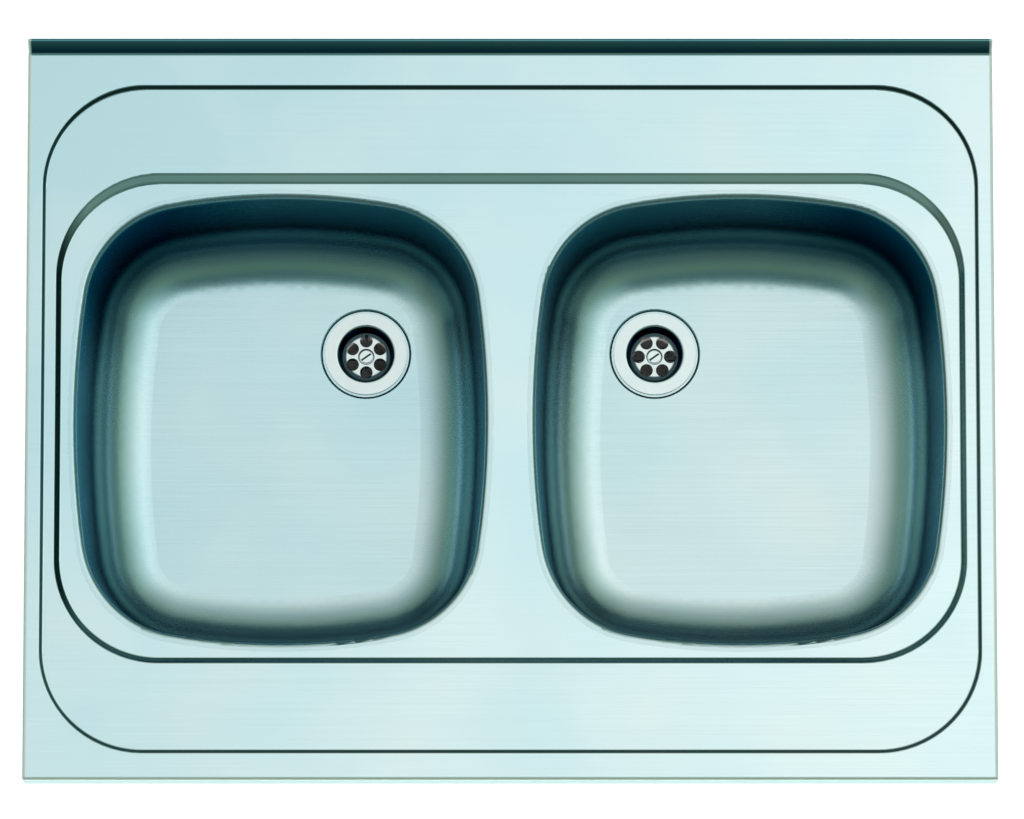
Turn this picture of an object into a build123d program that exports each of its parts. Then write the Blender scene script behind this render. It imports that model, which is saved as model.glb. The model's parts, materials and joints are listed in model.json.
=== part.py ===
from build123d import *

import os
from math import radians, tan

# A lay-on kitchen sink with two bowls, its two wastes and the trap that both drain into.
# Millimetres. The origin is the plan centre of the deck, level with the cabinet top that the
# sink rests on. +X runs to the right along the front, +Y to the wall, +Z up.

# ---------------------------------------------------------------- sheet and deck
sheet = 0.8  # stainless sheet of the deck and the bowls
deck_width = 800.0  # left side to right side
deck_depth = 605.0  # front edge to the foot of the upstand
rim_height = 28.0  # cabinet top to the top of the rim
deck_edge_radius = 3.0  # fold along the front
deck_end_radius = 1.4  # folds along both sides
return_width = 15.0  # flange turned in at the foot of the skirt

upstand_height = 8.6  # above the rim
upstand_lean = 9.0  # how far the upstand's face leans back
upstand_bulge = 0.4  # of its face
upstand_cap = 2.5  # width of its top
upstand_cap_radius = 1.5
upstand_root_radius = 4.0

rim_side_inset = 13.0  # edge of the deck to the outer step, at the sides
rim_front_inset = 22.5  # the same at the front
rim_back_inset = 26.5  # from the upstand's foot to the outer step
rim_side_run = 2.4  # width of the outer step's slope, at the sides
rim_front_run = 3.0
rim_back_run = 3.0
rim_step_drop = 3.0
rim_step_corner = 85.0
field_side_inset = 24.5  # edge of the deck to the inner step, at the sides
field_front_inset = 97.0
field_back_inset = 100.0
field_side_run = 4.1
field_front_run = 5.0
field_back_run = 8.0
field_step_drop = 5.0
field_step_corner = 86.0
step_bend_radius = 1.5

# ---------------------------------------------------------------- bowls
bowl_width = 345.0  # across the bulged sides, at the roll of the rim
bowl_length = 379.0  # across the bulged ends
bowl_corner_radius = 90.0
bowl_corner_inset_x = 96.5  # corner arc's centre, in from the side
bowl_corner_inset_y = 96.5  # and in from the end
bowl_web = 34.0  # between the two bowls
bowl_shift_y = -3.0  # bowls' centre from the deck's centre
bowl_drop = 146.0  # field to floor
bowl_draft = 4.0  # degrees
bowl_floor_radius = 48.0  # wall to floor
bowl_rim_radius = 4.0  # field to wall
bowl_seam = 3.0  # weld seam outside the roll of the rim

# ---------------------------------------------------------------- wastes
waste_inset_x = 105.0  # from the bowl's inner side
waste_inset_y = 112.5  # from the bowl's back end
waste_recess_radius = 36.5
waste_recess_slope = 2.0
waste_recess_drop = 2.5
waste_hole_radius = 26.0

strainer_sheet = 1.0
strainer_radius = 34.5  # outside of the flange
strainer_throat = 23.5
strainer_base = 20.5
strainer_depth = 16.0
strainer_bend = 2.0  # flange to throat
strainer_dish_radius = 6.5
strainer_dish_slope = 0.8
strainer_dish_depth = 3.0
strainer_screw_clearance = 0.3
strainer_holes = 6
strainer_hole_radius = 5.4
strainer_hole_circle = 13.4

upper_gasket_thickness = 1.2
lower_gasket_thickness = 3.0
gasket_inset = 0.5  # gasket's edge inside the flange that covers it

screw_radius = 3.0
screw_head_radius = 4.9
screw_head_height = 2.6
screw_slot_width = 1.6
screw_slot_depth = 1.5
screw_slot_turn = 35.0  # degrees
screw_length = 22.0
screw_clearance = 0.05

waste_flange_radius = 35.0
waste_flange_thickness = 4.0
waste_cup_bore = 25.2
waste_cup_wall = 3.0
waste_cup_depth = 18.0
waste_outlet_length = 28.0
waste_spoke_width = 3.0
waste_spoke_height = 5.0
waste_spoke_bars = 2
waste_hub_wall = 2.5
insert_wall = 1.8
insert_length = 12.0
insert_clearance = 0.02

# ---------------------------------------------------------------- pipes and their joints
pipe_radius = 20.0  # 40 mm pipe
pipe_wall = 1.9
pipe_clearance = 0.3  # pipe in its socket
thread_radius = 23.9  # 1 1/2 inch pipe thread
thread_clearance = 0.25
pipe_insertion = 20.0
socket_length = 22.0
socket_chamfer = 2.4
seal_clearance = 0.05  # seal on the pipe
seal_lip = 3.0
seal_radius = 23.4
seal_nose_land = 0.5  # blunt end of the seal's nose
seal_nose_clearance = 0.1
nut_radius = 28.0
nut_end = 3.0
nut_skirt = 14.0
nut_ribs = 8
nut_rib_width = 4.0
nut_rib_depth = 1.6
nut_chamfer = 1.0
nut_rib_recess = 2.0  # ribs stop short of the nut's open end

elbow_radius = 32.0  # centre line of the bend
elbow_neck = 10.0  # waste outlet's mouth to the bend
tee_bore = 18.7  # between its two sockets
tee_reach = 46.0  # middle of the tee to a socket's mouth
tee_drop = 36.0  # centre line of the tee to the trap's mouth

# ---------------------------------------------------------------- bottle trap
trap_body_radius = 36.0
trap_wall = 3.0
trap_shoulder = 7.0  # height of the slope from the socket to the body
trap_body_height = 66.0  # below the shoulder
trap_web = 3.0  # seat of the dip tube
trap_outlet_drop = 26.0  # outlet's centre line below the shoulder
trap_outlet_reach = 60.0  # trap's centre line to the outlet socket's mouth
dip_radius = 16.5
dip_wall = 1.5
dip_length = 98.0
dip_flange = 1.5
dip_clearance = 0.05
outlet_length = 120.0
outlet_stop_height = 2.0  # bead that limits how deep the pipe goes in
outlet_stop_width = 2.5
outlet_stop_clearance = 0.5  # from the nut

cup_clearance = 0.3  # cup's thread over the body
cup_wall = 3.2
cup_skirt = 12.0  # height of thread that the cup covers
cup_seal_thickness = 2.5
cup_well_radius = 32.5
cup_depth = 48.0  # below the seal
cup_corner_radius = 8.0
cup_ribs = 12
cup_rib_width = 4.0
cup_rib_depth = 1.4
cup_rib_recess = 2.0  # ribs stop short of the cup's top

# ---------------------------------------------------------------- pads and cabinet brackets
pad_width = 120.0
pad_length = 150.0
pad_thickness = 2.0
pad_inset_x = 72.5  # from the bowl's outer side
pad_inset_y = 79.5  # from the bowl's front end
pad_corner_radius = 6.0

panel_thickness = 18.0  # cabinet side that stands under the skirt
bracket_inset = 102.5  # front of the deck, or foot of the upstand, to a bracket's middle
bracket_width = 30.0
bracket_sheet = 1.5
bracket_leg = 45.0
bracket_lap = 12.0  # on the return flange
bracket_bend = 2.5
bracket_hole_radius = 2.5
bracket_hole_spacing = 20.0
bracket_hole_drop = 10.0  # cabinet top to the upper hole
bracket_corner = 4.0  # cut off both corners of the leg

# ---------------------------------------------------------------- levels and places that follow
deck_front = -deck_depth / 2
deck_root = deck_depth / 2
deck_back = deck_root + upstand_lean + upstand_cap
ledge_z = rim_height - rim_step_drop
field_z = ledge_z - field_step_drop
floor_z = field_z - bowl_drop
seat_z = floor_z - waste_recess_drop
bowl_center_x = (bowl_web + bowl_width) / 2
waste_x = bowl_web / 2 + waste_inset_x
waste_y = bowl_shift_y + bowl_length / 2 - waste_inset_y
pad_x = bowl_web / 2 + bowl_width - pad_inset_x - pad_width / 2
pad_y = bowl_shift_y - bowl_length / 2 + pad_inset_y + pad_length / 2
strainer_top = seat_z + upper_gasket_thickness + strainer_sheet
strainer_floor = strainer_top - strainer_depth
dish_z = strainer_floor - strainer_dish_depth
body_top = seat_z - sheet - lower_gasket_thickness
hub_top = dish_z - strainer_sheet
spoke_top = body_top - waste_cup_depth
waste_mouth = spoke_top - waste_spoke_height - waste_outlet_length
insert_radius = screw_radius + screw_clearance + insert_wall
socket_bore = pipe_radius + pipe_clearance
bend_top = waste_mouth - elbow_neck
tee_z = bend_top - elbow_radius
trap_mouth = tee_z - tee_drop
trap_web_z = trap_mouth - socket_length
shoulder_z = trap_web_z - trap_web - trap_shoulder
outlet_z = shoulder_z - trap_outlet_drop
body_foot = shoulder_z - trap_body_height
seal_z = body_foot - cup_seal_thickness
cup_floor = seal_z - cup_depth
sides = {"left": -1, "right": 1}
place_tolerance = 0.01  # for finding faces and edges by where they lie


os.makedirs("parts", exist_ok=True)


def save(piece, label):
    """Name a finished piece and write it out."""
    piece.part.label = label
    export_step(piece.part, f"parts/{label}.step")


def at(shapes, axis, place):
    """The faces, edges or vertices whose middle lies at a place along an axis."""
    return shapes.filter_by_position(axis, place - place_tolerance, place + place_tolerance)


def section_plane(place):
    """The half plane through a plane's normal: x runs outwards and y along the normal."""
    return Plane(place.origin, x_dir=place.x_dir, z_dir=-place.y_dir)


def turned(place, *points):
    """A solid turned about a plane's normal from (radius, height) points."""
    with BuildPart() as piece:
        with BuildSketch(section_plane(place)):
            with BuildLine():
                Polyline(*points, close=True)
            make_face()
        revolve(axis=Axis(place.origin, place.z_dir))
    return piece.part


def step_down(top, drop, corner, *sides):
    """The room above a step in the sheet, from the (inset, run) of its front, back and side."""
    with BuildPart() as room:
        for depth in (0, 1):
            front, back, side = (inset + depth * run for inset, run in sides)
            low = deck_front + front
            high = deck_root - back
            radius = corner - depth * sides[-1][1]
            with BuildSketch(Plane.XY.offset(top - depth * drop)):
                with Locations((0, (low + high) / 2)):
                    RectangleRounded(deck_width - 2 * side, high - low, radius)
        loft(ruled=True)
    return room.part


def bowl_outline(grow):
    """A bowl's outline: two end arcs, two side arcs and four corner arcs, all tangent."""
    half_width = bowl_width / 2 + grow
    half_length = bowl_length / 2 + grow
    corner = bowl_corner_radius + grow
    inset_x = bowl_corner_inset_x + grow
    inset_y = bowl_corner_inset_y + grow
    middle = Vector(half_width - inset_x, half_length - inset_y)
    end_radius = (middle.X**2 + inset_y**2 - corner**2) / (2 * (inset_y - corner))
    side_radius = (middle.Y**2 + inset_x**2 - corner**2) / (2 * (inset_x - corner))
    end_normal = (middle - Vector(0, half_length - end_radius)).normalized()
    side_normal = (middle - Vector(half_width - side_radius, 0)).normalized()
    end = middle + end_normal * corner
    side = middle + side_normal * corner
    knee = middle + (end_normal + side_normal).normalized() * corner
    with BuildSketch() as outline:
        with BuildLine():
            ThreePointArc((-end.X, end.Y), (0, half_length), (end.X, end.Y))
            ThreePointArc((end.X, end.Y), (knee.X, knee.Y), (side.X, side.Y))
            ThreePointArc((side.X, side.Y), (half_width, 0), (side.X, -side.Y))
            ThreePointArc((side.X, -side.Y), (knee.X, -knee.Y), (end.X, -end.Y))
            ThreePointArc((end.X, -end.Y), (0, -half_length), (-end.X, -end.Y))
            ThreePointArc((-end.X, -end.Y), (-knee.X, -knee.Y), (-side.X, -side.Y))
            ThreePointArc((-side.X, -side.Y), (-half_width, 0), (-side.X, side.Y))
            ThreePointArc((-side.X, side.Y), (-knee.X, knee.Y), (-end.X, end.Y))
        make_face()
    return outline.sketch


# ================================================================ deck
with BuildPart() as deck:
    with BuildSketch(Plane.YZ.offset(-deck_width / 2)) as side_view:
        with BuildLine():
            top = rim_height + upstand_height
            Polyline(
                (deck_root + upstand_lean, top),
                (deck_back, top),
                (deck_back, 0),
                (deck_front, 0),
                (deck_front, rim_height),
                (deck_root, rim_height),
            )
            SagittaArc((deck_root, rim_height), (deck_root + upstand_lean, top), upstand_bulge)
        make_face()
        fillet(side_view.vertices().group_by(Axis.Y)[-1], upstand_cap_radius)
        front_corners = side_view.vertices().group_by(Axis.X)[0]
        fillet(front_corners.sort_by(Axis.Y)[-1], deck_edge_radius)
        fillet(at(side_view.vertices(), Axis.X, deck_root), upstand_root_radius)
    extrude(amount=deck_width)
    for side in (-1, 1):
        end_face = deck.faces().sort_by(Axis.X)[0 if side < 0 else -1]
        fillet(end_face.edges().sort_by(Axis.Z)[1:], deck_end_radius)
    add(
        step_down(
            rim_height,
            rim_step_drop,
            rim_step_corner,
            (rim_front_inset, rim_front_run),
            (rim_back_inset, rim_back_run),
            (rim_side_inset, rim_side_run),
        ),
        mode=Mode.SUBTRACT,
    )
    add(
        step_down(
            ledge_z,
            field_step_drop,
            field_step_corner,
            (field_front_inset, field_front_run),
            (field_back_inset, field_back_run),
            (field_side_inset, field_side_run),
        ),
        mode=Mode.SUBTRACT,
    )
    fillet(at(deck.edges(), Axis.Z, field_z), step_bend_radius)
    fillet(at(deck.edges(), Axis.Z, ledge_z), step_bend_radius)
    rim_face = at(deck.faces().filter_by(Plane.XY), Axis.Z, rim_height)[0]
    fillet(rim_face.inner_wires()[0].edges(), step_bend_radius)
    # hollowed to the sheet, open below, with a flange turned in round its foot
    offset(amount=-sheet, openings=deck.faces().sort_by(Axis.Z)[0])
    with BuildSketch(Plane.XY):
        with BuildLine():
            Polyline(
                (-deck_width / 2 + sheet, deck_front + sheet),
                (deck_width / 2 - sheet, deck_front + sheet),
                (deck_width / 2 - sheet, deck_back - sheet),
                (-deck_width / 2 + sheet, deck_back - sheet),
                close=True,
            )
        make_face()
        with Locations((0, (deck_front + deck_back) / 2)):
            Rectangle(
                deck_width - 2 * return_width,
                deck_back - deck_front - 2 * return_width,
                mode=Mode.SUBTRACT,
            )
    extrude(amount=sheet)
    # openings that the bowls are welded into
    with BuildSketch(Plane.XY.offset(field_z)):
        for side in sides.values():
            with Locations((side * bowl_center_x, bowl_shift_y)):
                add(bowl_outline(bowl_seam))
    extrude(amount=-sheet, mode=Mode.SUBTRACT)
save(deck, "deck")


# ================================================================ bowls and what is fixed to them
def drawn_form(side, grow):
    """The tool that a bowl is drawn with: grow 0 is the inside of the metal, sheet the outside."""
    roll = bowl_rim_radius * tan(radians((90 - bowl_draft) / 2))
    with BuildPart() as form:
        with BuildSketch(Plane.XY.offset(field_z)):
            with Locations((side * bowl_center_x, bowl_shift_y)):
                add(bowl_outline(grow - roll))
        extrude(amount=-bowl_drop - grow, taper=bowl_draft)
        fillet(form.faces().sort_by(Axis.Z)[0].edges(), bowl_floor_radius + grow)
        for level, radius in (
            (floor_z - grow, waste_recess_radius + waste_recess_slope),
            (seat_z - grow, waste_recess_radius),
        ):
            with BuildSketch(Plane.XY.offset(level)):
                with Locations((side * waste_x, waste_y)):
                    Circle(radius + grow)
        loft(ruled=True)
    return form.part


def bowl(side):
    """A drawn bowl: a narrow flange, steep walls, a wide floor radius and a waste recess."""
    middle = (side * bowl_center_x, bowl_shift_y)
    with BuildPart() as piece:
        add(drawn_form(side, sheet))
        with BuildSketch(Plane.XY.offset(field_z)):
            with Locations(middle):
                add(bowl_outline(bowl_seam))
        extrude(amount=-sheet)
        under = at(piece.faces().filter_by(Plane.XY), Axis.Z, field_z - sheet)[0]
        fillet(under.inner_wires()[0].edges(), bowl_rim_radius - sheet)
        add(drawn_form(side, 0), mode=Mode.SUBTRACT)
        over = piece.faces().filter_by(Plane.XY).sort_by(Axis.Z)[-1]
        fillet(over.inner_wires()[0].edges(), bowl_rim_radius)
        with BuildSketch(Plane.XY.offset(floor_z)):
            with Locations((side * waste_x, waste_y)):
                Circle(waste_hole_radius)
        extrude(amount=-bowl_floor_radius, mode=Mode.SUBTRACT)
    return piece


for side_name, side in sides.items():
    save(bowl(side), f"{side_name}_bowl")

    with BuildPart() as pad:
        with BuildSketch(Plane.XY.offset(floor_z - sheet)):
            with Locations((side * pad_x, pad_y)):
                RectangleRounded(pad_width, pad_length, pad_corner_radius)
        extrude(amount=-pad_thickness)
    save(pad, f"{side_name}_sound_pad")


# ================================================================ brackets that hold the sink down
def bracket(side, y):
    """An angle that lies on the return flange and is screwed to the cabinet's side panel."""
    leg_x = deck_width / 2 - panel_thickness - bracket_sheet / 2
    lap_x = deck_width / 2 - return_width + bracket_lap
    lap_z = sheet + bracket_sheet / 2
    with BuildPart() as piece:
        with BuildSketch(Plane.XZ.offset(-y)):
            with BuildLine():
                FilletPolyline(
                    (side * lap_x, lap_z),
                    (side * leg_x, lap_z),
                    (side * leg_x, -bracket_leg),
                    radius=bracket_bend,
                )
            trace(line_width=bracket_sheet)
        extrude(amount=bracket_width / 2, both=True)
        corners = piece.edges().filter_by(Axis.X).group_by(Axis.Z)[0]
        chamfer(corners, bracket_corner)
        with BuildSketch(Plane.YZ.offset(side * leg_x)):
            with Locations((y, -bracket_hole_drop), (y, -bracket_hole_drop - bracket_hole_spacing)):
                Circle(bracket_hole_radius)
        extrude(amount=bracket_sheet, both=True, mode=Mode.SUBTRACT)
    return piece


for side_name, side in sides.items():
    save(bracket(side, deck_front + bracket_inset), f"front_{side_name}_bracket")
    save(bracket(side, deck_root - bracket_inset), f"rear_{side_name}_bracket")


# ================================================================ joints between pipes
def socket_cut(place):
    """The room inside a socket whose mouth lies on the plane, with the seal's chamfer."""
    return turned(
        place,
        (0, 0),
        (socket_bore + socket_chamfer, 0),
        (socket_bore, -socket_chamfer),
        (socket_bore, -socket_length),
        (0, -socket_length),
    )


def union_nut(place):
    """A ribbed nut that presses a seal into a socket's mouth."""
    end = seal_lip + nut_end
    inside = thread_radius + thread_clearance
    with BuildPart() as piece:
        add(
            turned(
                place,
                (socket_bore, seal_lip),
                (socket_bore, end),
                (nut_radius - nut_chamfer, end),
                (nut_radius, end - nut_chamfer),
                (nut_radius, -nut_skirt),
                (inside, -nut_skirt),
                (inside, seal_lip),
            )
        )
        with BuildSketch(place.offset(nut_rib_recess - nut_skirt)):
            with PolarLocations(nut_radius, nut_ribs):
                Rectangle(2 * nut_rib_depth, nut_rib_width)
        extrude(amount=nut_skirt + end - nut_rib_recess - nut_chamfer)
    return piece


def cone_seal(place):
    """A rubber ring with a conical nose that fits a socket's chamfer."""
    inside = pipe_radius + seal_clearance
    nose = socket_chamfer - seal_nose_land
    with BuildPart() as piece:
        add(
            turned(
                place,
                (inside, -nose),
                (socket_bore + seal_nose_land - seal_nose_clearance, -nose),
                (socket_bore + socket_chamfer - seal_nose_clearance, 0),
                (seal_radius, 0),
                (seal_radius, seal_lip),
                (inside, seal_lip),
            )
        )
    return piece


# ================================================================ wastes
def strainer(place, first_hole):
    """A pressed flange and cup with a dished, perforated bottom."""
    middle = strainer_sheet / 2
    with BuildPart() as piece:
        with BuildSketch(section_plane(place)):
            with BuildLine():
                Polyline(
                    (screw_radius + strainer_screw_clearance, dish_z - middle),
                    (strainer_dish_radius, dish_z - middle),
                    (strainer_dish_radius + strainer_dish_slope, strainer_floor - middle),
                    (strainer_base, strainer_floor - middle),
                )
                FilletPolyline(
                    (strainer_base, strainer_floor - middle),
                    (strainer_throat, strainer_top - middle),
                    (strainer_radius, strainer_top - middle),
                    radius=strainer_bend,
                )
            trace(line_width=strainer_sheet)
        revolve(axis=Axis(place.origin, place.z_dir))
        with BuildSketch(place.offset(strainer_floor)):
            with PolarLocations(strainer_hole_circle, strainer_holes, first_hole):
                Circle(strainer_hole_radius)
        extrude(amount=2 * strainer_sheet, both=True, mode=Mode.SUBTRACT)
    return piece


def strainer_screw(place):
    """A slotted screw that draws the strainer down to the waste body."""
    with BuildPart() as piece:
        add(
            turned(
                place,
                (0, dish_z - screw_length),
                (screw_radius, dish_z - screw_length),
                (screw_radius, dish_z),
                (screw_head_radius, dish_z),
                (screw_head_radius, dish_z + screw_head_height),
                (0, dish_z + screw_head_height),
            )
        )
        with BuildSketch(place.offset(dish_z + screw_head_height)):
            Rectangle(2 * screw_head_radius, screw_slot_width, rotation=screw_slot_turn)
        extrude(amount=-screw_slot_depth, mode=Mode.SUBTRACT)
    return piece


def ring(place, inner, outer, low, high):
    """A flat ring between two heights."""
    with BuildPart() as piece:
        with BuildSketch(place.offset(low)):
            Circle(outer)
            Circle(inner, mode=Mode.SUBTRACT)
        extrude(amount=high - low)
    return piece


def waste_body(place):
    """A moulded cup with a flange, a spoked hub for the screw and a threaded outlet."""
    cup_radius = waste_cup_bore + waste_cup_wall
    neck = spoke_top - waste_cup_wall
    hub_radius = insert_radius + insert_clearance + waste_hub_wall
    with BuildPart() as piece:
        add(
            turned(
                place,
                (socket_bore + socket_chamfer, waste_mouth),
                (thread_radius, waste_mouth),
                (thread_radius, neck),
                (cup_radius, neck + cup_radius - thread_radius),
                (cup_radius, body_top - waste_flange_thickness),
                (waste_flange_radius, body_top - waste_flange_thickness),
                (waste_flange_radius, body_top),
                (waste_cup_bore, body_top),
                (waste_cup_bore, spoke_top),
                (socket_bore, spoke_top),
                (socket_bore, waste_mouth + socket_chamfer),
            )
        )
        with BuildSketch(place.offset(spoke_top)):
            with PolarLocations(0, 2 * waste_spoke_bars):
                with Locations((socket_bore / 2, 0)):
                    Rectangle(socket_bore + waste_spoke_width / 2, waste_spoke_width)
        extrude(amount=-waste_spoke_height)
        with BuildSketch(place.offset(hub_top)):
            Circle(hub_radius)
        extrude(amount=-insert_length)
        with BuildSketch(place.offset(hub_top)):
            Circle(insert_radius + insert_clearance)
        extrude(amount=-insert_length, mode=Mode.SUBTRACT)
    return piece


def elbow(side):
    """A bent pipe from a waste down and across to the tee."""
    with BuildPart() as piece:
        with BuildLine(Plane.XZ.offset(-waste_y)) as route:
            FilletPolyline(
                (side * waste_x, waste_mouth + pipe_insertion),
                (side * waste_x, tee_z),
                (side * (tee_reach - pipe_insertion), tee_z),
                radius=elbow_radius,
            )
        with BuildSketch(Plane(route.line @ 0, z_dir=route.line % 0)):
            Circle(pipe_radius)
            Circle(pipe_radius - pipe_wall, mode=Mode.SUBTRACT)
        sweep()
    return piece


for side_name, side in sides.items():
    axis = Plane((side * waste_x, waste_y, 0))
    first_hole = 90 if side_name == "left" else 0
    save(strainer(axis, first_hole), f"{side_name}_strainer")
    save(strainer_screw(axis), f"{side_name}_strainer_screw")
    covered = strainer_radius - gasket_inset
    save(
        ring(axis, waste_hole_radius, covered, seat_z, seat_z + upper_gasket_thickness),
        f"{side_name}_upper_gasket",
    )
    save(ring(axis, waste_hole_radius, covered, body_top, seat_z - sheet), f"{side_name}_lower_gasket")
    save(waste_body(axis), f"{side_name}_waste_body")
    save(
        ring(axis, screw_radius + screw_clearance, insert_radius, hub_top - insert_length, hub_top),
        f"{side_name}_screw_insert",
    )
    outlet_mouth = Plane((side * waste_x, waste_y, waste_mouth), z_dir=(0, 0, -1))
    save(cone_seal(outlet_mouth), f"{side_name}_waste_seal")
    save(union_nut(outlet_mouth), f"{side_name}_waste_nut")
    save(elbow(side), f"{side_name}_elbow")
    tee_mouth = Plane((side * tee_reach, waste_y, tee_z), z_dir=(side, 0, 0))
    save(cone_seal(tee_mouth), f"{side_name}_tee_seal")
    save(union_nut(tee_mouth), f"{side_name}_tee_nut")

# ================================================================ tee between the two wastes
with BuildPart() as tee:
    with BuildSketch(Plane.YZ):
        with Locations((waste_y, tee_z)):
            Circle(thread_radius)
    extrude(amount=tee_reach, both=True)
    with BuildSketch(Plane.XY.offset(tee_z)):
        with Locations((0, waste_y)):
            Circle(pipe_radius)
    extrude(amount=-tee_drop - pipe_insertion)
    with BuildSketch(Plane.XY.offset(tee_z)):
        with Locations((0, waste_y)):
            Circle(pipe_radius - pipe_wall)
    extrude(amount=-tee_drop - pipe_insertion, mode=Mode.SUBTRACT)
    with BuildSketch(Plane.YZ):
        with Locations((waste_y, tee_z)):
            Circle(tee_bore)
    extrude(amount=tee_reach, both=True, mode=Mode.SUBTRACT)
    for side in sides.values():
        mouth = Plane((side * tee_reach, waste_y, tee_z), z_dir=(side, 0, 0))
        add(socket_cut(mouth), mode=Mode.SUBTRACT)
save(tee, "tee")

# ================================================================ bottle trap
trap_axis = Plane((0, waste_y, 0))
trap_inlet = Plane((0, waste_y, trap_mouth))
trap_outlet = Plane((0, waste_y + trap_outlet_reach, outlet_z), z_dir=(0, 1, 0))
trap_bore = trap_body_radius - trap_wall
dip_bore = dip_radius + dip_clearance

with BuildPart() as trap_body:
    add(
        turned(
            trap_axis,
            (0, trap_mouth),
            (thread_radius, trap_mouth),
            (thread_radius, trap_web_z),
            (trap_body_radius, shoulder_z),
            (trap_body_radius, body_foot),
            (0, body_foot),
        )
    )
    with BuildSketch(trap_outlet):
        Circle(thread_radius)
    extrude(amount=-trap_outlet_reach)
    add(
        turned(
            trap_axis,
            (0, body_foot),
            (trap_bore, body_foot),
            (trap_bore, shoulder_z),
            (thread_radius - trap_wall, trap_web_z - trap_web),
            (dip_bore, trap_web_z - trap_web),
            (dip_bore, trap_web_z),
            (0, trap_web_z),
        ),
        mode=Mode.SUBTRACT,
    )
    add(socket_cut(trap_inlet), mode=Mode.SUBTRACT)
    add(socket_cut(trap_outlet), mode=Mode.SUBTRACT)
    with BuildSketch(trap_outlet):
        Circle(pipe_radius - pipe_wall)
    extrude(amount=-trap_outlet_reach, mode=Mode.SUBTRACT)
save(trap_body, "trap_body")
save(cone_seal(trap_inlet), "trap_seal")
save(union_nut(trap_inlet), "trap_nut")
save(cone_seal(trap_outlet), "outlet_seal")
save(union_nut(trap_outlet), "outlet_nut")
with BuildPart() as outlet_pipe:
    stop = seal_lip + nut_end + outlet_stop_clearance
    add(
        turned(
            trap_outlet,
            (pipe_radius - pipe_wall, -pipe_insertion),
            (pipe_radius, -pipe_insertion),
            (pipe_radius, stop),
            (pipe_radius + outlet_stop_height, stop),
            (pipe_radius + outlet_stop_height, stop + outlet_stop_width),
            (pipe_radius, stop + outlet_stop_width),
            (pipe_radius, outlet_length),
            (pipe_radius - pipe_wall, outlet_length),
        )
    )
save(outlet_pipe, "outlet_pipe")

with BuildPart() as dip_tube:
    add(
        turned(
            trap_axis,
            (dip_radius - dip_wall, trap_web_z + dip_flange),
            (socket_bore - pipe_clearance, trap_web_z + dip_flange),
            (socket_bore - pipe_clearance, trap_web_z),
            (dip_radius, trap_web_z),
            (dip_radius, trap_web_z - dip_length),
            (dip_radius - dip_wall, trap_web_z - dip_length),
        )
    )
save(dip_tube, "dip_tube")

cup_bore = trap_body_radius + cup_clearance
cup_radius = cup_bore + cup_wall
cup_top = body_foot + cup_skirt
with BuildPart() as trap_cup:
    add(
        turned(
            trap_axis,
            (0, cup_floor - cup_wall),
            (cup_well_radius + cup_wall, cup_floor - cup_wall),
            (cup_well_radius + cup_wall, seal_z - 2 * cup_wall),
            (cup_radius, seal_z - cup_wall),
            (cup_radius, cup_top),
            (cup_bore, cup_top),
            (cup_bore, seal_z),
            (cup_well_radius, seal_z),
            (cup_well_radius, cup_floor),
            (0, cup_floor),
        )
    )
    foot = trap_cup.edges().group_by(Axis.Z)[0]
    fillet(foot, cup_corner_radius + cup_wall)
    fillet(at(trap_cup.edges(), Axis.Z, cup_floor), cup_corner_radius)
    with BuildSketch(trap_axis.offset(seal_z - cup_wall)):
        with PolarLocations(cup_radius, cup_ribs):
            Rectangle(2 * cup_rib_depth, cup_rib_width)
    extrude(amount=cup_top - cup_rib_recess - seal_z + cup_wall)
save(trap_cup, "trap_cup")
save(ring(trap_axis, trap_bore, trap_body_radius, seal_z, body_foot), "cup_seal")
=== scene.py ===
import json
from math import cos, pi, radians, sin

import bmesh
import bpy
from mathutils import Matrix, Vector


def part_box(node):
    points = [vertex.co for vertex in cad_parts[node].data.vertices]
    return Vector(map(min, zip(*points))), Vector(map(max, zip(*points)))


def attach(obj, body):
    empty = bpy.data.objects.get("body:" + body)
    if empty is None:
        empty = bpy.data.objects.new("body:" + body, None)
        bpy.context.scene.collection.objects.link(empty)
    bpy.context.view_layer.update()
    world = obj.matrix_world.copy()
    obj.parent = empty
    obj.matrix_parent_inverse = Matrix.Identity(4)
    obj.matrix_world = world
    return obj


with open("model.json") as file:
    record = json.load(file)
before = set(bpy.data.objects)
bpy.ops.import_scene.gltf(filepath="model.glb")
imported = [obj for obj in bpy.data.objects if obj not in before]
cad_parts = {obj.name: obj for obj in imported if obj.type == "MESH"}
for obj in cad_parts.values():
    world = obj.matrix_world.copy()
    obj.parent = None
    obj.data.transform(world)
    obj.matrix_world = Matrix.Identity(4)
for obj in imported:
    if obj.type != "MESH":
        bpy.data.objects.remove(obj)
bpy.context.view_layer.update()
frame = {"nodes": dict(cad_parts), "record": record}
nodes = frame["nodes"]
SIDES = {"left": -1, "right": 1}

# ---------------------------------------------------------------- view
IMAGE_WIDTH = 1024
PIXELS_PER_METRE = 1213.0  # on the deck
CAMERA_DISTANCE = 6.5
CAMERA_TILT = radians(8.2)  # off the plumb line, towards the front
CAMERA_REACH = 60.0
SENSOR = 36.0
AIM = Vector((0.0014, 0.0044, 0.028))
FLOOR_LEVEL = -0.48  # clear of the trap's cup when it hangs free
FLOOR_HALF = 30.0  # half the floor's side
FLOOR_GLOW = 0.52
FLOOR_ROUGH = 0.8
FLOOR_SPOTS = 3.0  # spots per metre

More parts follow.
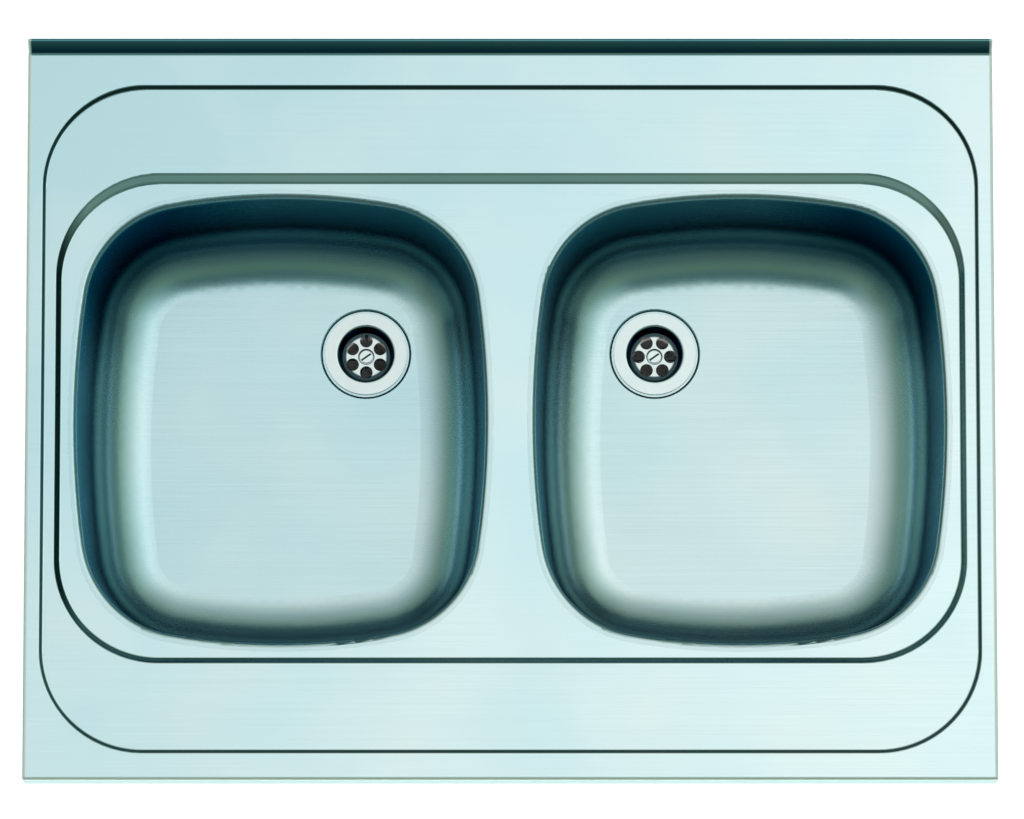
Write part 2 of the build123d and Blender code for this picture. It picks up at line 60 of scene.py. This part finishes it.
# ---------------------------------------------------------------- colours, linear
WHITE = (1.0, 1.0, 1.0)
FLOOR_PALE = (0.80, 0.80, 0.80)
FLOOR_DARK = (0.78, 0.78, 0.78)
STEEL = (0.72, 0.88, 0.89)
# second steel colour: random clouds, and painted light that darkens the deck towards the back
# left
STEEL_CLOUD_AND_SHADE = (0.55, 0.81, 0.87)
SHEET_EDGE = (0.35, 0.55, 0.62)  # the sheen of steel seen along its surface
BOWL_EDGE = (0.10, 0.30, 0.44)
# the sheet's underside: a duller finish, painted darker as shade
DULL_SHADED = (0.30, 0.31, 0.31)
# painted light, paler, on the deck's outer edge
EDGE_PAINTED_LIGHT = (0.86, 0.97, 0.92)
POLISHED = (0.70, 0.82, 0.82)
ZINC = (0.55, 0.58, 0.60)
ZINC_CLOUD = (0.47, 0.50, 0.55)
BRASS = (0.72, 0.50, 0.20)
BRASS_CLOUD = (0.62, 0.42, 0.17)
PLAIN_EDGE = (0.9, 0.9, 0.9)
PLASTIC = (0.78, 0.79, 0.77)
DRAIN_SHADE = (0.005, 0.014, 0.020)
RUBBER = (0.020, 0.021, 0.022)
BITUMEN = (0.028, 0.027, 0.028)

# ---------------------------------------------------------------- the studio's light
# its colour by the angle in degrees from the zenith, after the sky is drawn in by STRETCH
SKY = (
    (0, (1.10, 1.10, 1.08)),
    (6, (1.00, 1.00, 0.98)),
    (11, (0.76, 0.78, 0.74)),
    (17, (0.51, 0.61, 0.56)),
    (23, (0.35, 0.46, 0.40)),
    (31, (0.25, 0.34, 0.275)),
    (44, (0.19, 0.27, 0.21)),
    (58, (0.14, 0.20, 0.17)),
    (69, (0.11, 0.16, 0.15)),
    (79, (0.08, 0.12, 0.12)),
    (90, (0.06, 0.10, 0.11)),
)
STRETCH_X = 0.35  # the light is long from side to side
STRETCH_BACK = 0.22
STRETCH_FRONT = 1.0
SHADE_MIDDLE = (0.0, -0.30, 0.95)  # a dark place in front of the light
SHADE = (0.13, 0.22, 0.24)
SHADE_INNER = 6  # degrees
SHADE_OUTER = 25
SLANT = (1.0, -1.0, 0.0)  # the light grows this way, across the deck
SLANT_RANGE = (-0.19, 0.0)
SLANT_LIGHT = (0.76, 1.20)
LAMPS = {  # place and size in metres, power in watts
    "key": ((0.8, -1.4, 3.0), 3.0, 95.0),
    "fill_front": ((-2.4, -2.6, 0.5), 2.5, 60.0),
    "fill_back": ((2.4, 2.6, 0.5), 2.5, 60.0),
}

# ---------------------------------------------------------------- wastes and threads
WASTE_X = 0.122
WASTE_Y = 0.074
PITCH = 0.00231
RIDGE = 0.0007  # height of a thread's ridge
RIDGE_FOOT = 0.42  # half the ridge's width at its foot, in pitches
RIDGE_TOP = 0.12
TURN_STEPS = 48
FADE_STEPS = TURN_STEPS / 4  # the ridge grows to its height over these
THREAD_MARGIN = 0.0004  # clear of the nut
NECK = 0.030  # a waste outlet's mouth to the foot of its cup
SOCKET = 0.022  # depth of the trap's inlet socket
TEE_ROOT = 0.0245  # middle of the tee to the root of its threads
OUTLET_ROOT = 0.0362  # the trap's middle to the root of its outlet's thread

# ---------------------------------------------------------------- grain of the surfaces
NOISE_LOW, NOISE_HIGH = 0.3, 0.7  # most values of a noise lie between these
FACTOR, FIRST, SECOND, MIXED = 0, 6, 7, 2  # a colour mix's inputs and its output
CLOUDS = 7.0  # per metre
CLOUD_SWING = 0.3
LIGHT_DRIFT_REACH = 0.42  # painted light: one of the steel's colours turns to the other across the deck, the darker one at the back left
SMUDGES = 9.0
SMUDGE_SWING = 0.01
LINE_DETAIL = 4.0
LINE_BREAKS = 0.6
LINE_DARK = 0.6  # the brush lines' dark colour, as a share of the metal's
LINE_SHARE = 0.05  # how much of it shows
METAL_GRAIN = 0.5  # against the brush lines
METAL_BUMP = 0.10
UNDERSIDE = (-0.06, -0.01)  # normal's Z: sheet is dull, and painted darker as shade, below the first and bright over the other
UNDERSIDE_ROUGH = 0.25
EDGE_SIDE = 0.3968  # the deck's outer edge; beyond it the sheet is painted paler, as light
EDGE_FRONT = -0.2992
EDGE_WIDTH = 0.0010
EDGE_ROUGH = 0.40
SOIL = 30.0
SOIL_DETAIL = 3.0
SOIL_DARK = 0.88
MOULDED_SWING = 0.06
MOULDED_BUMP = 0.25
ALONG_X = (6, 900, 900)  # brush lines, stretched along X
ALL_WAYS = (90, 90, 90)
TURNED = (400, 400, 400)

# ---------------------------------------------------------------- where shade and dark reflections are painted into the metal
WALL_SIDES = 0.05  # share of the walls' painted shade at the sides of a bowl
WALL_FRONT = 0.6
WALL_BEGINS = 0.06  # along Y, both ways
WALL_REACHES = 0.15
STEP_SIDES = 0.5  # share of the outer step's painted shade away from the back
STEP_BEGINS = 0.15
STEP_REACHES = 0.25
LEFT_BEGINS = -0.350  # X towards the inner step's left side, where its painted shade shows
LEFT_REACHES = -0.370
RIM_LINE_ENDS = -0.14  # Y where the rim's painted dark line fades out towards the front
RIM_LINE_BEGINS = -0.09
CORNER = (0.39, 0.455)  # |X| + Y towards an outer back corner, where shade is painted
DRAIN_RADIUS = 0.0256  # painted shade inside a waste, within this radius and down to this depth
DRAIN_DEPTH = 0.0225

# stops of painted shade: a height, or a distance from the waste, and the colour that the metal's
# is multiplied by
UNSHADED = WHITE
LIGHT_BEND_SHADE = (0.62, 0.66, 0.62)  # painted shade on the bends of the steps
# painted shade along the slopes of the steps
DARK_STEP_SHADE = (0.10, 0.13, 0.12)
FOOT_REFLECTION = (0.05, 0.16, 0.20)  # painted dark reflection on the upstand's foot and lip
LIP_REFLECTION = (0.22, 0.42, 0.42)
RIM_LINE_REFLECTION = (0.38, 0.45, 0.46)  # a painted dark reflection: the line round a bowl's rim
THROAT_SHADE = (0.05, 0.08, 0.09)  # painted shade inside a strainer's throat, and in a screw's slot
# painted shade on the steps' bends and painted dark reflection on the upstand, by height
STEP_STOPS = (
    (0.0190, UNSHADED),
    (0.02004, UNSHADED),
    (0.0203, LIGHT_BEND_SHADE),
    (0.0208, LIGHT_BEND_SHADE),
    (0.0216, UNSHADED),
    (0.0238, UNSHADED),
    (0.0244, LIGHT_BEND_SHADE),
    (0.0248, LIGHT_BEND_SHADE),
    (0.02497, UNSHADED),
    (0.02815, UNSHADED),
    (0.0290, FOOT_REFLECTION),
    (0.0310, FOOT_REFLECTION),
    (0.0390, LIP_REFLECTION),
)
INNER_STEP_STOPS = (
    (0.02004, UNSHADED),
    (0.0204, DARK_STEP_SHADE),
    (0.0244, DARK_STEP_SHADE),
    (0.02495, UNSHADED),
)
OUTER_STEP_STOPS = (
    (0.02504, UNSHADED),
    (0.0254, DARK_STEP_SHADE),
    (0.0276, DARK_STEP_SHADE),
    (0.02795, UNSHADED),
)
# painted shade and dark reflections on a bowl's walls and the bends at their foot, by height
WALL_SHADE_STOPS = (
    (-0.1260, UNSHADED),
    (-0.1257, (0.90, 0.93, 0.88)),
    (-0.1249, (0.60, 0.72, 0.70)),
    (-0.1236, (0.46, 0.59, 0.62)),
    (-0.1218, (0.50, 0.58, 0.54)),
    (-0.1191, (0.46, 0.55, 0.56)),
    (-0.1150, (0.40, 0.48, 0.50)),
    (-0.1105, (0.20, 0.31, 0.34)),
    (-0.1060, (0.16, 0.28, 0.32)),
    (-0.0900, (0.28, 0.42, 0.48)),
    (-0.0400, (0.38, 0.49, 0.57)),
    (0.0100, (0.52, 0.64, 0.72)),
    (0.0185, UNSHADED),
)
# painted shade in a bowl's outer back corners
CORNER_SHADE_STOPS = (
    (-0.119, UNSHADED),
    (-0.090, (0.20, 0.34, 0.43)),
    (0.008, (0.26, 0.40, 0.48)),
    (0.018, UNSHADED),
)
RIM_LINE_STOPS = (
    (0.0186, UNSHADED),
    (0.0192, RIM_LINE_REFLECTION),
    (0.0197, RIM_LINE_REFLECTION),
    (0.01985, UNSHADED),
)
# painted shade by distance from the waste: a ring round the screw's head, and the strainer's
# throat
STRAINER_STOPS = (
    (0.0000, UNSHADED),
    (0.0052, UNSHADED),
    (0.0058, (0.45, 0.48, 0.48)),
    (0.0070, UNSHADED),
    (0.0162, UNSHADED),
    (0.0175, THROAT_SHADE),
    (0.0232, THROAT_SHADE),
    (0.0245, UNSHADED),
)
screw_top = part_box("left_strainer_screw")[1][2]
# painted shade in the screw's slot, below its top
SCREW_STOPS = (
    (screw_top - 0.0012, THROAT_SHADE),
    (screw_top - 0.0003, THROAT_SHADE),
    (screw_top - 0.0001, UNSHADED),
)


# ================================================================ nodes of a material
class Tree:
    """A short way to write a node tree: each call adds a node and links or sets its inputs."""

    def __init__(self, owner):
        owner.use_nodes = True
        self.tree = owner.node_tree
        self.tree.nodes.clear()

    def set(self, socket, value):
        if isinstance(value, bpy.types.NodeSocket):
            self.tree.links.new(value, socket)
        else:
            socket.default_value = value

    def add(self, kind, inputs=None, **settings):
        node = self.tree.nodes.new(kind)
        for name, value in settings.items():
            setattr(node, name, value)
        for name, value in (inputs or {}).items():
            self.set(node.inputs[name], value)
        return node

    def math(self, operation, first, second=0.0):
        return self.add("ShaderNodeMath", {0: first, 1: second}, operation=operation).outputs[0]

    def along(self, vector, direction):
        """How far a vector goes in a direction."""
        values = {0: vector, 1: tuple(Vector(direction).normalized())}
        return self.add("ShaderNodeVectorMath", values, operation="DOT_PRODUCT").outputs["Value"]

    def length(self, first, second):
        first = self.math("MULTIPLY", first, first)
        second = self.math("MULTIPLY", second, second)
        return self.math("SQRT", self.math("ADD", first, second))

    def noise(self, vector, scale, detail=2.0, roughness=0.5):
        values = {"Vector": vector, "Scale": scale, "Detail": detail, "Roughness": roughness}
        return self.add("ShaderNodeTexNoise", values).outputs["Fac"]

    def span(self, value, low, high, from_low=NOISE_LOW, from_high=NOISE_HIGH):
        """Maps a value from one range to another, clamped."""
        values = {
            "Value": value,
            "From Min": from_low,
            "From Max": from_high,
            "To Min": low,
            "To Max": high,
        }
        return self.add("ShaderNodeMapRange", values).outputs["Result"]

    def blend(self, factor, first, second, kind="MIX"):
        node = self.add("ShaderNodeMix", data_type="RGBA", blend_type=kind)
        for index, value in ((FACTOR, factor), (FIRST, first), (SECOND, second)):
            self.set(node.inputs[index], (*value, 1.0) if isinstance(value, tuple) else value)
        return node.outputs[MIXED]

    def ramp(self, factor, stops):
        node = self.add("ShaderNodeValToRGB", {"Fac": factor})
        band = node.color_ramp
        while len(band.elements) < len(stops):
            band.elements.new(0.5)
        for element, (position, colour) in zip(band.elements, stops):
            element.position = position
            element.color = (*colour, 1.0)
        return node.outputs["Color"]

    def place(self, scale=(1, 1, 1)):
        """Coordinates in metres, stretched by scale."""
        where = self.add("ShaderNodeTexCoord").outputs["Object"]
        return self.add("ShaderNodeMapping", {"Vector": where, "Scale": scale}).outputs["Vector"]

    def parts(self, vector):
        """The X, Y and Z of a vector."""
        return self.add("ShaderNodeSeparateXYZ", {"Vector": vector}).outputs

    def across(self):
        """X, Y and Z in metres."""
        return self.parts(self.place())

    def tinted(self, shade, value, stops, share):
        """Painted shade: a colour multiplied by another one that follows a value in metres."""
        low, high = stops[0][0], stops[-1][0]
        stops = [((at - low) / (high - low), tint) for at, tint in stops]
        tint = self.ramp(self.span(value, 0.0, 1.0, low, high), stops)
        return self.blend(share, shade, tint, "MULTIPLY")

    def bump(self, height, strength, distance):
        values = {"Height": height, "Strength": strength, "Distance": distance}
        return self.add("ShaderNodeBump", values).outputs["Normal"]

    def surface(self, inputs):
        shader = self.add("ShaderNodeBsdfPrincipled", inputs)
        self.add("ShaderNodeOutputMaterial", {"Surface": shader.outputs["BSDF"]})


# ================================================================ what a painted shade follows
def height(tree):
    return tree.across()[2]


def from_waste(tree):
    """Distance from the plumb line through the nearer waste."""
    x, y, _ = tree.across()
    x = tree.math("SUBTRACT", tree.math("ABSOLUTE", x), WASTE_X)
    return tree.length(x, tree.math("SUBTRACT", y, WASTE_Y))


# ================================================================ where a painted shade shows
def everywhere(tree):
    return 1.0


def shade_on_walls(tree):
    """Painted shade and dark reflections: in full on a bowl's back wall, less on the front one
    and hardly at the sides.
    """
    y = tree.across()[1]
    back = tree.span(y, WALL_SIDES, 1.0, WALL_BEGINS, WALL_REACHES)
    front = tree.span(y, WALL_FRONT, WALL_SIDES, -WALL_REACHES, -WALL_BEGINS)
    return tree.math("MAXIMUM", back, front)


# painted shade on the outer step, in full at the back
def on_outer_step(tree):
    return tree.span(tree.across()[1], STEP_SIDES, 1.0, STEP_BEGINS, STEP_REACHES)


# painted shade on the inner step, on the left side only
def on_left_side(tree):
    return tree.span(tree.across()[0], 1.0, 0.0, LEFT_REACHES, LEFT_BEGINS)


# the rim's painted reflection line, faded out towards the front
def on_rim_line(tree):
    return tree.span(tree.across()[1], 0.0, 1.0, RIM_LINE_ENDS, RIM_LINE_BEGINS)


# painted shade grows towards a bowl's outer back corners
def shade_in_corners(tree):
    x, y, _ = tree.across()
    outwards = tree.math("ADD", tree.math("ABSOLUTE", x), y)
    return tree.span(outwards, 0.0, 1.0, *CORNER)


# painted shade and dark reflections on the deck, the bowls, the strainers and the screws
DECK_TINTS = (
    (height, everywhere, STEP_STOPS),
    (height, on_outer_step, OUTER_STEP_STOPS),
    (height, on_left_side, INNER_STEP_STOPS),
)
BOWL_TINTS = (
    (height, shade_on_walls, WALL_SHADE_STOPS),
    (height, shade_in_corners, CORNER_SHADE_STOPS),
    (height, on_rim_line, RIM_LINE_STOPS),
)
STRAINER_TINTS = ((from_waste, everywhere, STRAINER_STOPS),)
SCREW_TINTS = ((height, everywhere, SCREW_STOPS),)


# ================================================================ metals
def clouds_and_painted_light(tree, colour, cloud_and_shade):
    """Clouds of one colour in the other, and painted light: the second colour grows towards the
    back left of the deck.
    """
    clouds = tree.span(tree.noise(tree.place(), CLOUDS), -CLOUD_SWING, CLOUD_SWING)
    drift = tree.span(tree.along(tree.place(), SLANT), 1.0, 0.0, -LIGHT_DRIFT_REACH, LIGHT_DRIFT_REACH)
    return tree.blend(tree.math("ADD", clouds, drift), colour, cloud_and_shade)


def shaded_under_lit_edge(tree, shade, rough):
    """Sheet: duller underneath with shade painted in as a darker colour, and rougher along its
    outer edge with light painted in as a paler colour.
    """
    normal = tree.add("ShaderNodeNewGeometry").outputs["Normal"]
    underside_shade = tree.span(tree.parts(normal)[2], 1.0, 0.0, *UNDERSIDE)
    shade = tree.blend(underside_shade, shade, DULL_SHADED)
    rough = tree.math("ADD", rough, tree.math("MULTIPLY", underside_shade, UNDERSIDE_ROUGH))
    x, y, _ = tree.across()
    lit_edge = tree.math("SUBTRACT", tree.math("ABSOLUTE", x), EDGE_SIDE)
    lit_edge = tree.math("MAXIMUM", lit_edge, tree.math("SUBTRACT", EDGE_FRONT, y))
    lit_edge = tree.span(lit_edge, 0.0, 1.0, 0.0, EDGE_WIDTH)
    shade = tree.blend(lit_edge, shade, EDGE_PAINTED_LIGHT)
    rough = tree.math("ADD", rough, tree.math("MULTIPLY", lit_edge, EDGE_ROUGH))
    return shade, rough


def metal(name, colours, gloss, brush, grain, depth=0.00004, tints=(), sheet=False):
    """Ground metal: fine brush lines, a cloudy tint and small differences in gloss.

    The colours are the two that drift into each other, in clouds and as painted light across the
    deck, and the one of the sheen seen edge on.
    Each tint paints shade and dark reflections, and holds what it follows, where it shows and
    its stops.
    """
    colour, cloud_and_shade, edge = colours
    material = bpy.data.materials.new(name)
    tree = Tree(material)
    lines = tree.noise(tree.place(brush), 1.0, LINE_DETAIL, LINE_BREAKS)
    smudges = tree.noise(tree.place(), SMUDGES)
    fine = tree.noise(tree.place(), grain)
    shade = clouds_and_painted_light(tree, colour, cloud_and_shade)
    line_colour = tuple(LINE_DARK * part for part in colour)
    shade = tree.blend(tree.span(lines, 0.0, LINE_SHARE), shade, line_colour)
    for follows, shows, stops in tints:
        shade = tree.tinted(shade, follows(tree), stops, shows(tree))
    smudges = tree.span(smudges, -SMUDGE_SWING, SMUDGE_SWING)
    rough = tree.math("ADD", tree.span(lines, *gloss), smudges)
    if sheet:
        shade, rough = shaded_under_lit_edge(tree, shade, rough)
    relief = tree.math("ADD", lines, tree.span(fine, 0.0, METAL_GRAIN))
    tree.surface(
        {
            "Base Color": shade,
            "Metallic": 1.0,
            "Specular Tint": (*edge, 1.0),
            "Roughness": rough,
            "Normal": tree.bump(relief, METAL_BUMP, depth),
        }
    )
    return material


POLISH = dict(
    colours=(POLISHED, POLISHED, BOWL_EDGE),
    gloss=(0.12, 0.16),
    brush=ALL_WAYS,
    grain=900.0,
    depth=0.00001,
)
METALS = {
    # the deck's steel, with painted shade on its steps and painted dark reflection on its
    # upstand
    "satin_steel": dict(
        colours=(STEEL, STEEL_CLOUD_AND_SHADE, SHEET_EDGE),
        gloss=(0.13, 0.17),
        brush=ALONG_X,
        grain=1400.0,
        tints=DECK_TINTS,
        sheet=True,
    ),
    # the bowls' steel, with shade and dark reflections painted on its walls
    "bowl_steel_painted_shade": dict(
        colours=(STEEL, STEEL_CLOUD_AND_SHADE, BOWL_EDGE),
        gloss=(0.24, 0.28),
        brush=ALONG_X,
        grain=1400.0,
        depth=0.00002,
        tints=BOWL_TINTS,
        sheet=True,
    ),
    "polished_steel": dict(POLISH, tints=STRAINER_TINTS),
    "screw_steel": dict(POLISH, tints=SCREW_TINTS),
    "zinc_plate": dict(
        colours=(ZINC, ZINC_CLOUD, PLAIN_EDGE),
        gloss=(0.34, 0.46),
        brush=ALL_WAYS,
        grain=900.0,
    ),
    "brass": dict(
        colours=(BRASS, BRASS_CLOUD, PLAIN_EDGE),
        gloss=(0.24, 0.34),
        brush=TURNED,
        grain=1500.0,
    ),
}


# ================================================================ plastic and rubber
def shaded_inside_waste(tree, shade):
    """Painted shade, near black, inside a waste."""
    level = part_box("left_waste_body")[1][2] - DRAIN_DEPTH
    inside = tree.math("LESS_THAN", from_waste(tree), DRAIN_RADIUS)
    inside = tree.math("MULTIPLY", inside, tree.math("GREATER_THAN", height(tree), level))
    return tree.blend(inside, shade, DRAIN_SHADE)


def moulded(name, colour, rough, grain, depth, inside_shade=False):
    """Moulded plastic or rubber with a fine grain and slight soiling, and painted shade inside a
    waste when asked.
    """
    material = bpy.data.materials.new(name)
    tree = Tree(material)
    soil = tree.noise(tree.place(), SOIL, SOIL_DETAIL)
    fine = tree.noise(tree.place(), grain)
    darker = tuple(SOIL_DARK * part for part in colour)
    shade = tree.blend(tree.span(soil, 0.0, 1.0), colour, darker)
    # painted shade inside the waste
    if inside_shade:
        shade = shaded_inside_waste(tree, shade)
    tree.surface(
        {
            "Base Color": shade,
            "Roughness": tree.span(fine, rough - MOULDED_SWING, rough + MOULDED_SWING),
            "Normal": tree.bump(fine, MOULDED_BUMP, depth),
        }
    )
    return material


FITTING = dict(colour=PLASTIC, rough=0.38, grain=1500.0, depth=0.0002)
MOULDED = {
    "white_plastic": FITTING,
    "waste_plastic": dict(FITTING, inside_shade=True),
    "black_rubber": dict(colour=RUBBER, rough=0.62, grain=1200.0, depth=0.0002),
    "sound_pad": dict(colour=BITUMEN, rough=0.80, grain=320.0, depth=0.0010),
}

# ================================================================ materials on the pieces
materials = {name: metal(name, **finish) for name, finish in METALS.items()}
materials.update({name: moulded(name, **finish) for name, finish in MOULDED.items()})
slot_of = {part["node"]: part["material_slot"] for part in frame["record"]["subparts"]}


def dress(piece, finish):
    piece.data.materials.clear()
    piece.data.materials.append(materials[finish])


def dress_nodes():
    for name, piece in nodes.items():
        dress(piece, slot_of[name])
    for side in SIDES:
        dress(nodes[f"{side}_bowl"], "bowl_steel_painted_shade")
        dress(nodes[f"{side}_strainer_screw"], "screw_steel")
        dress(nodes[f"{side}_waste_body"], "waste_plastic")


def place_object(name, data):
    piece = bpy.data.objects.new(name, data)
    bpy.context.scene.collection.objects.link(piece)
    return piece


# ================================================================ moulded threads
def thread_rings(mesh, middle, along, radius, start, end):
    """The cross-sections of a helical ridge, from start to end along its axis."""
    across = along.orthogonal().normalized()
    upright = along.cross(across)
    steps = int(TURN_STEPS * (end - start - PITCH) / PITCH)
    for step in range(steps + 1):
        angle = 2 * pi * step / TURN_STEPS
        outward = across * cos(angle) + upright * sin(angle)
        reach = start + PITCH * (0.5 + step / TURN_STEPS)
        rise = RIDGE * min(1.0, step / FADE_STEPS, (steps - step) / FADE_STEPS)
        profile = (
            (-RIDGE_FOOT, -RIDGE / 4),
            (-RIDGE_TOP, rise),
            (RIDGE_TOP, rise),
            (RIDGE_FOOT, -RIDGE / 4),
        )
        points = [
            middle + along * (reach + PITCH * shift) + outward * (radius + lift)
            for shift, lift in profile
        ]
        yield [mesh.verts.new(point) for point in points]


def add_thread(name, middle, along, radius, start, end, body):
    """A moulded thread on a socket, fading out at both ends."""
    mesh = bmesh.new()
    rings = list(thread_rings(mesh, Vector(middle), Vector(along), radius, start, end))
    for first, second in zip(rings, rings[1:]):
        for corner in range(4):
            after = (corner + 1) % 4
            mesh.faces.new((first[corner], first[after], second[after], second[corner]))
    mesh.faces.new(rings[0][::-1])
    mesh.faces.new(rings[-1])
    bmesh.ops.recalc_face_normals(mesh, faces=mesh.faces)
    data = bpy.data.meshes.new(name)
    mesh.to_mesh(data)
    mesh.free()
    piece = place_object(name, data)
    dress(piece, "white_plastic")
    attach(piece, body)


def add_threads():
    radius = (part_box("tee")[1][1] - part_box("tee")[0][1]) / 2
    tee_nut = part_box("right_tee_nut")
    tee_level = (tee_nut[0][2] + tee_nut[1][2]) / 2
    tee_end = tee_nut[0][0] - THREAD_MARGIN
    for side, sign in SIDES.items():
        middle = (sign * WASTE_X, WASTE_Y, 0)
        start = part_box(f"{side}_waste_nut")[1][2] + THREAD_MARGIN
        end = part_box(f"{side}_waste_body")[0][2] + NECK
        add_thread(f"{side}_waste_thread", middle, (0, 0, 1), radius, start, end, "sink")
        middle = (0, WASTE_Y, tee_level)
        add_thread(f"{side}_tee_thread", middle, (sign, 0, 0), radius, TEE_ROOT, tee_end, "sink")
    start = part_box("trap_body")[1][2] - SOCKET
    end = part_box("trap_nut")[0][2] - THREAD_MARGIN
    add_thread("trap_inlet_thread", (0, WASTE_Y, 0), (0, 0, 1), radius, start, end, "trap")
    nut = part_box("outlet_nut")
    middle = (0, 0, (nut[0][2] + nut[1][2]) / 2)
    start = WASTE_Y + OUTLET_ROOT
    end = nut[0][1] - THREAD_MARGIN
    add_thread("trap_outlet_thread", middle, (0, 1, 0), radius, start, end, "trap")


# ================================================================ floor, light and camera
def add_floor():
    """A white floor that glows in view and in reflections, and doesn't light the rest."""
    mesh = bpy.data.meshes.new("floor")
    corners = ((-1, -1), (1, -1), (1, 1), (-1, 1))
    corners = [(x * FLOOR_HALF, y * FLOOR_HALF, FLOOR_LEVEL) for x, y in corners]
    mesh.from_pydata(corners, [], [(0, 1, 2, 3)])
    floor = place_object("floor", mesh)
    material = bpy.data.materials.new("floor")
    tree = Tree(material)
    rays = tree.add("ShaderNodeLightPath").outputs
    seen = tree.math("MAXIMUM", rays["Is Camera Ray"], rays["Is Glossy Ray"])
    seen = tree.math("MAXIMUM", seen, rays["Is Transmission Ray"])
    spots = tree.span(tree.noise(tree.place(), FLOOR_SPOTS), 0.0, 1.0)
    tree.surface(
        {
            "Base Color": tree.blend(spots, FLOOR_PALE, FLOOR_DARK),
            "Roughness": FLOOR_ROUGH,
            "Emission Color": (*WHITE, 1.0),
            "Emission Strength": tree.math("MULTIPLY", seen, FLOOR_GLOW),
        }
    )
    floor.data.materials.append(material)


def sky_colour(tree, way):
    """The light's colour, drawn in more at the back than at the front."""
    x, y, z = tree.parts(way)
    x = tree.math("MULTIPLY", x, STRETCH_X)
    both = tree.math("MULTIPLY", y, (STRETCH_BACK + STRETCH_FRONT) / 2)
    apart = (STRETCH_BACK - STRETCH_FRONT) / 2
    apart = tree.math("MULTIPLY", tree.math("ABSOLUTE", y), apart)
    y = tree.math("ADD", both, apart)
    outermost = SKY[-1][0]
    angle = tree.math("ARCTAN2", tree.length(x, y), z)
    part = tree.span(angle, 0.0, 1.0, 0.0, radians(outermost))
    return tree.ramp(part, [(angle / outermost, shade) for angle, shade in SKY])


def add_world():
    """A soft light from above, with a dark place in front of it and the dark low all round."""
    world = bpy.data.worlds.new("studio")
    bpy.context.scene.world = world
    tree = Tree(world)
    way = tree.add("ShaderNodeTexCoord").outputs["Generated"]
    away = tree.math("ARCCOSINE", tree.along(way, SHADE_MIDDLE))
    clear = tree.span(away, 0.0, 1.0, radians(SHADE_INNER), radians(SHADE_OUTER))
    shade = tree.blend(clear, SHADE, WHITE)
    colour = tree.blend(1.0, sky_colour(tree, way), shade, "MULTIPLY")
    strength = tree.span(tree.along(way, SLANT), *SLANT_LIGHT, *SLANT_RANGE)
    light = tree.add("ShaderNodeBackground", {"Color": colour, "Strength": strength})
    tree.add("ShaderNodeOutputWorld", {"Surface": light.outputs["Background"]})


def add_lamp(name, place, size, power):
    data = bpy.data.lights.new(name, "AREA")
    data.shape = "SQUARE"
    data.size = size
    data.energy = power
    lamp = place_object(name, data)
    lamp.location = place
    lamp.rotation_euler = (-Vector(place)).to_track_quat("-Z", "Y").to_euler()
    lamp.visible_glossy = False


def add_camera():
    data = bpy.data.cameras.new("camera")
    data.sensor_width = SENSOR
    data.lens = PIXELS_PER_METRE * CAMERA_DISTANCE * SENSOR / IMAGE_WIDTH
    data.clip_end = CAMERA_REACH
    camera = place_object("camera", data)
    back = Vector((0, -sin(CAMERA_TILT), cos(CAMERA_TILT)))
    camera.location = AIM + CAMERA_DISTANCE * back
    camera.rotation_euler = (CAMERA_TILT, 0, 0)
    bpy.context.scene.camera = camera


dress_nodes()
add_threads()
add_floor()
add_world()
for name, (place, size, power) in LAMPS.items():
    add_lamp(name, place, size, power)
add_camera()
bpy.context.scene.view_settings.view_transform = "Standard"
